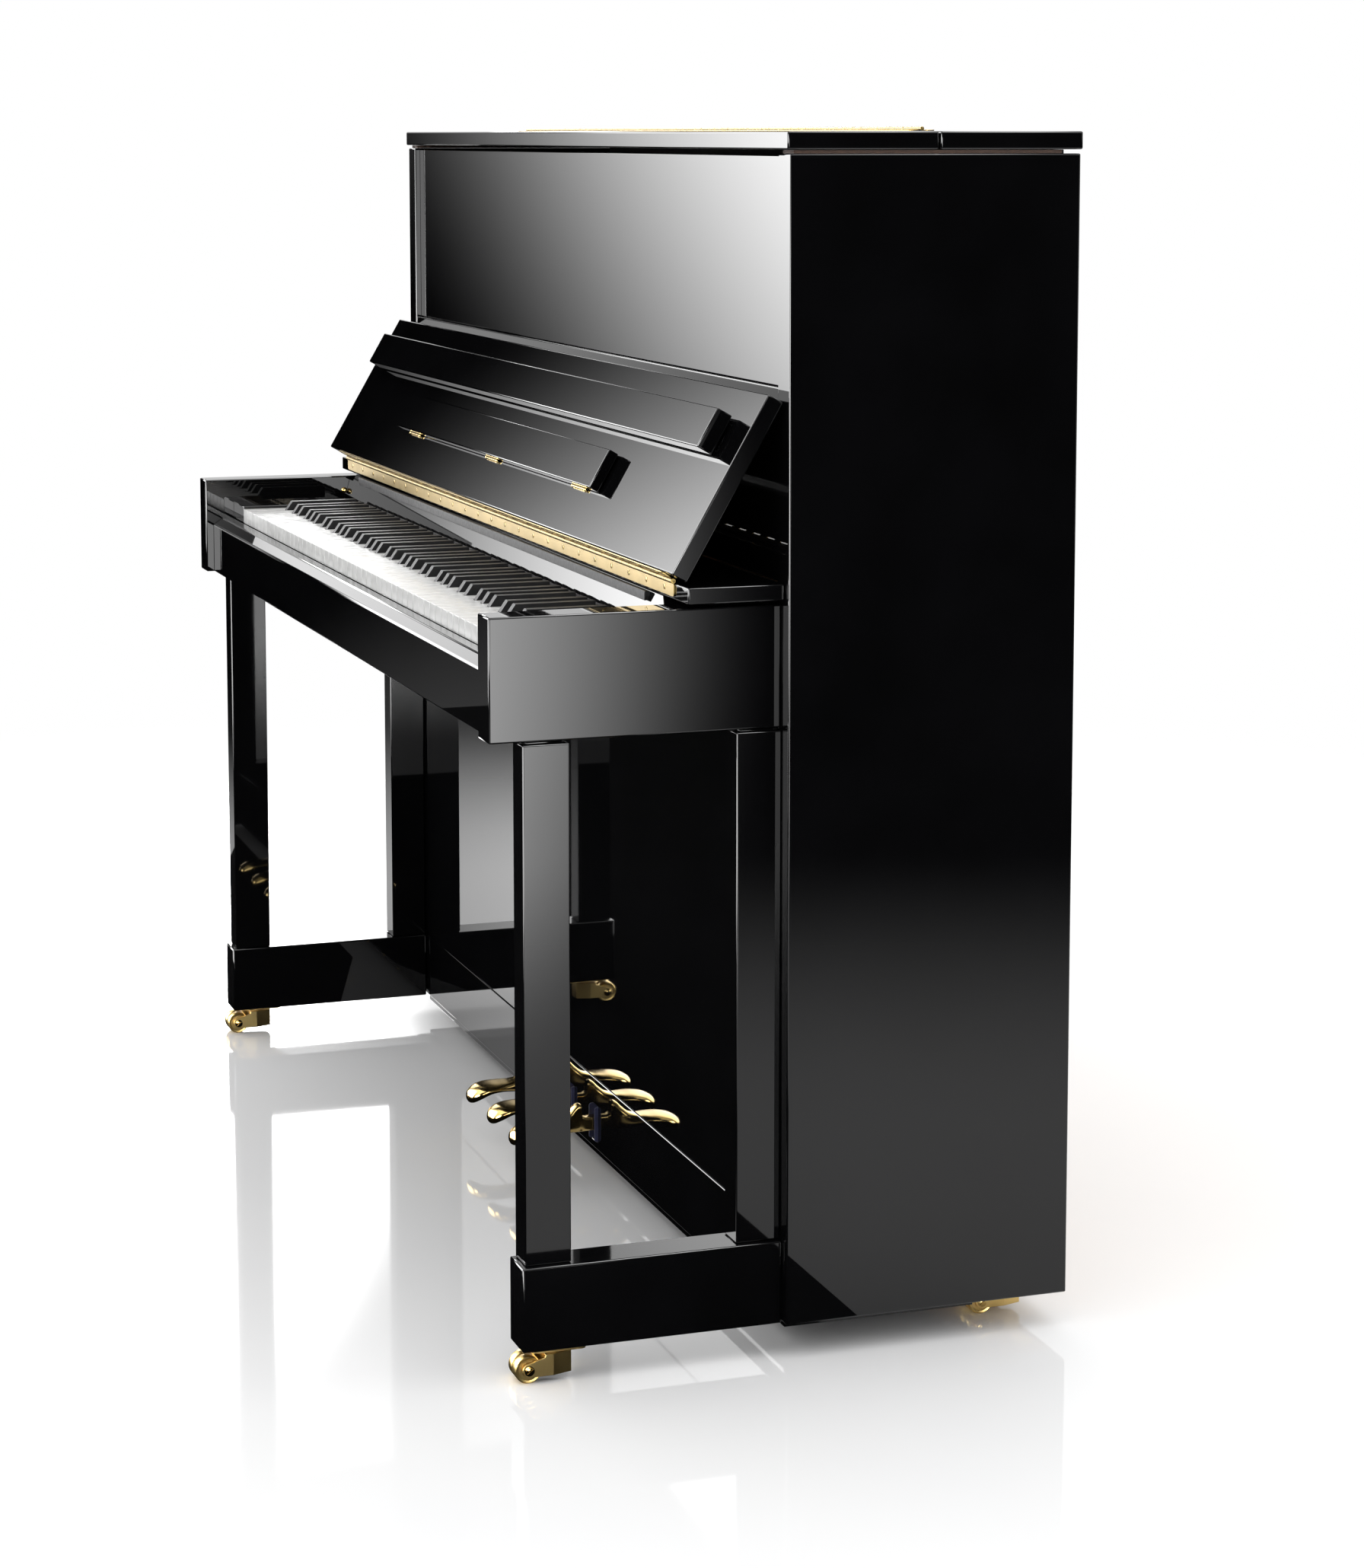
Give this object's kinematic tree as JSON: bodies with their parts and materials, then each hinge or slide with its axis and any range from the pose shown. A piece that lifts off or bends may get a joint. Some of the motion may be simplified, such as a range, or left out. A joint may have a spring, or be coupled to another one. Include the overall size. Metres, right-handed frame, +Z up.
{
  "type": "upright piano",
  "caption": "Tall black lacquered upright piano with open front legs, brass casters and pedals, a folding lid, and a fallboard that leans back to show the keyboard.",
  "frame": {"origin": "on the floor, under the middle of the overall length and depth", "axes": "+X to the treble end, +Y to the back of the piano, +Z up"},
  "size_m": [1.48, 0.613, 1.2368],
  "materials": {
    "black_lacquer": "high-gloss black polyester lacquer over wood-based panels",
    "brass": "polished",
    "white_key": "polished white key covers on wooden sticks",
    "black_key": "satin black key caps",
    "beech": "oiled beech and multiply",
    "spruce": "satin varnished spruce",
    "bronzed_iron": "bronze-painted casting",
    "string_steel": "bright drawn wire",
    "felt": "pressed wool felt on wooden shanks"
  },
  "bodies": {
    "case": {"side_panel_left": "black_lacquer", "side_panel_right": "black_lacquer", "lid_rear": "black_lacquer", "lid_hinge": "brass", "upper_panel": "black_lacquer", "upper_sill": "black_lacquer", "fallboard_backing": "black_lacquer", "fallboard_shelf": "black_lacquer", "fallboard_hinge": "brass", "nameboard": "black_lacquer", "key_slip": "black_lacquer", "key_block_left": "black_lacquer", "key_block_right": "black_lacquer", "arm_left": "black_lacquer", "arm_right": "black_lacquer", "key_bed": "beech", "leg_front_left": "black_lacquer", "leg_front_right": "black_lacquer", "leg_rear_left": "black_lacquer", "leg_rear_right": "black_lacquer", "toe_block_left": "black_lacquer", "toe_block_right": "black_lacquer", "lower_panel": "black_lacquer", "bottom_rail": "black_lacquer", "bottom_board": "black_lacquer", "back_frame": "beech", "soundboard": "spruce", "iron_plate": "bronzed_iron", "strings": "string_steel", "action_frame": "beech"},
    "lid_flap": {"lid_front": "black_lacquer", "lid_hinge_leaf": "brass"},
    "fallboard": {"fallboard": "black_lacquer", "fallboard_lip": "black_lacquer", "fallboard_hinge_leaf": "brass"},
    "music_shelf": {"music_shelf": "black_lacquer"},
    "hammers": {"hammers": "felt"},
    "dampers": {"dampers": "felt"},
    "muffler_rail": {"muffler_rail": "felt"},
    "pedal_left": {"pedal_left": "brass"},
    "pedal_middle": {"pedal_middle": "brass"},
    "pedal_right": {"pedal_right": "brass"},
    "white_keys_bass": {"white_keys_bass": "white_key"},
    "white_keys_treble": {"white_keys_treble": "white_key"},
    "black_keys_bass": {"black_keys_bass": "black_key"},
    "black_keys_treble": {"black_keys_treble": "black_key"},
    "key_C4": {"key_C4": "white_key"},
    "key_C_sharp_4": {"key_C_sharp_4": "black_key"},
    "key_D4": {"key_D4": "white_key"},
    "key_D_sharp_4": {"key_D_sharp_4": "black_key"},
    "key_E4": {"key_E4": "white_key"},
    "key_F4": {"key_F4": "white_key"},
    "caster_front_left": {"caster_fork_front_left": "brass"},
    "wheels_front_left": {"caster_wheels_front_left": "brass"},
    "caster_front_right": {"caster_fork_front_right": "brass"},
    "wheels_front_right": {"caster_wheels_front_right": "brass"},
    "caster_rear_left": {"caster_fork_rear_left": "brass"},
    "wheels_rear_left": {"caster_wheels_rear_left": "brass"},
    "caster_rear_right": {"caster_fork_rear_right": "brass"},
    "wheels_rear_right": {"caster_wheels_rear_right": "brass"}
  },
  "joints": [
    {"name": "lid_fold", "type": "hinge", "parent": "case", "child": "lid_flap", "pos_m": [0, 0.15137, 1.2346], "axis": [-1, 0, 0], "range_deg": [0, 178]},
    {"name": "fallboard_close", "type": "hinge", "parent": "case", "child": "fallboard", "pos_m": [0, -0.1083, 0.7908], "axis": [1, 0, 0], "range_deg": [0, 120]},
    {"name": "music_shelf_fold", "type": "hinge", "parent": "fallboard", "child": "music_shelf", "pos_m": [0, -0.09883, 0.85], "axis": [-1, 0, 0], "range_deg": [-90, 0]},
    {"name": "pedal_left_press", "type": "hinge", "parent": "case", "child": "pedal_left", "pos_m": [-0.094, 0.1195, 0.0685], "axis": [1, 0, 0], "range_deg": [0, 5], "stiffness_Nm_per_rad": 30, "springref_deg": -6.88},
    {"name": "pedal_middle_press", "type": "hinge", "parent": "case", "child": "pedal_middle", "pos_m": [0, 0.1195, 0.0685], "axis": [1, 0, 0], "range_deg": [0, 5], "stiffness_Nm_per_rad": 30, "springref_deg": -6.88},
    {"name": "pedal_right_press", "type": "hinge", "parent": "case", "child": "pedal_right", "pos_m": [0.094, 0.1195, 0.0685], "axis": [1, 0, 0], "range_deg": [0, 5], "stiffness_Nm_per_rad": 30, "springref_deg": -6.88},
    {"name": "hammer_rest_shift", "type": "hinge", "parent": "case", "child": "hammers", "pos_m": [0, 0.0855, 0.83], "axis": [-1, 0, 0], "range_deg": [0, 10]},
    {"name": "muffler_drop", "type": "slide", "parent": "case", "child": "muffler_rail", "axis": [0, 0, -1], "range_m": [0, 0.03]},
    {"name": "damper_lift", "type": "hinge", "parent": "case", "child": "dampers", "pos_m": [0, 0.138, 0.787], "axis": [1, 0, 0], "range_deg": [0, 6]},
    {"name": "white_keys_bass_press", "type": "hinge", "parent": "case", "child": "white_keys_bass", "pos_m": [0, -0.0485, 0.713], "axis": [1, 0, 0], "range_deg": [0, 2.6], "stiffness_Nm_per_rad": 24, "springref_deg": -8.59},
    {"name": "white_keys_treble_press", "type": "hinge", "parent": "case", "child": "white_keys_treble", "pos_m": [0, -0.0485, 0.713], "axis": [1, 0, 0], "range_deg": [0, 2.6], "stiffness_Nm_per_rad": 24, "springref_deg": -8.59},
    {"name": "black_keys_bass_press", "type": "hinge", "parent": "case", "child": "black_keys_bass", "pos_m": [0, -0.0485, 0.713], "axis": [1, 0, 0], "range_deg": [0, 2.6], "stiffness_Nm_per_rad": 24, "springref_deg": -8.59},
    {"name": "black_keys_treble_press", "type": "hinge", "parent": "case", "child": "black_keys_treble", "pos_m": [0, -0.0485, 0.713], "axis": [1, 0, 0], "range_deg": [0, 2.6], "stiffness_Nm_per_rad": 24, "springref_deg": -8.59},
    {"name": "key_C4_press", "type": "hinge", "parent": "case", "child": "key_C4", "pos_m": [0, -0.0485, 0.713], "axis": [1, 0, 0], "range_deg": [0, 2.6], "stiffness_Nm_per_rad": 1.2, "springref_deg": -8.59},
    {"name": "key_C_sharp_4_press", "type": "hinge", "parent": "case", "child": "key_C_sharp_4", "pos_m": [0, -0.0485, 0.713], "axis": [1, 0, 0], "range_deg": [0, 2.6], "stiffness_Nm_per_rad": 1.2, "springref_deg": -8.59},
    {"name": "key_D4_press", "type": "hinge", "parent": "case", "child": "key_D4", "pos_m": [0, -0.0485, 0.713], "axis": [1, 0, 0], "range_deg": [0, 2.6], "stiffness_Nm_per_rad": 1.2, "springref_deg": -8.59},
    {"name": "key_D_sharp_4_press", "type": "hinge", "parent": "case", "child": "key_D_sharp_4", "pos_m": [0, -0.0485, 0.713], "axis": [1, 0, 0], "range_deg": [0, 2.6], "stiffness_Nm_per_rad": 1.2, "springref_deg": -8.59},
    {"name": "key_E4_press", "type": "hinge", "parent": "case", "child": "key_E4", "pos_m": [0, -0.0485, 0.713], "axis": [1, 0, 0], "range_deg": [0, 2.6], "stiffness_Nm_per_rad": 1.2, "springref_deg": -8.59},
    {"name": "key_F4_press", "type": "hinge", "parent": "case", "child": "key_F4", "pos_m": [0, -0.0485, 0.713], "axis": [1, 0, 0], "range_deg": [0, 2.6], "stiffness_Nm_per_rad": 1.2, "springref_deg": -8.59},
    {"name": "caster_swivel_front_left", "type": "hinge", "parent": "case", "child": "caster_front_left", "pos_m": [-0.706, -0.24, 0.02], "axis": [0, 0, 1], "continuous": true},
    {"name": "wheel_spin_front_left", "type": "hinge", "parent": "caster_front_left", "child": "wheels_front_left", "pos_m": [-0.706, -0.27, 0.014], "axis": [1, 0, 0], "continuous": true},
    {"name": "caster_swivel_front_right", "type": "hinge", "parent": "case", "child": "caster_front_right", "pos_m": [0.706, -0.24, 0.02], "axis": [0, 0, 1], "continuous": true},
    {"name": "wheel_spin_front_right", "type": "hinge", "parent": "caster_front_right", "child": "wheels_front_right", "pos_m": [0.706, -0.27, 0.014], "axis": [1, 0, 0], "continuous": true},
    {"name": "caster_swivel_rear_left", "type": "hinge", "parent": "case", "child": "caster_rear_left", "pos_m": [-0.665, 0.266, 0.02], "axis": [0, 0, 1], "continuous": true},
    {"name": "wheel_spin_rear_left", "type": "hinge", "parent": "caster_rear_left", "child": "wheels_rear_left", "pos_m": [-0.665, 0.236, 0.014], "axis": [1, 0, 0], "continuous": true},
    {"name": "caster_swivel_rear_right", "type": "hinge", "parent": "case", "child": "caster_rear_right", "pos_m": [0.665, 0.266, 0.02], "axis": [0, 0, 1], "continuous": true},
    {"name": "wheel_spin_rear_right", "type": "hinge", "parent": "caster_rear_right", "child": "wheels_rear_right", "pos_m": [0.665, 0.236, 0.014], "axis": [1, 0, 0], "continuous": true}
  ],
  "couplings": [
    {"joint": "hammer_rest_shift", "follows": "pedal_left_press", "ratio": 2},
    {"joint": "muffler_drop", "follows": "pedal_middle_press", "m_per_rad": 0.34},
    {"joint": "damper_lift", "follows": "pedal_right_press", "ratio": 1.2}
  ]
}
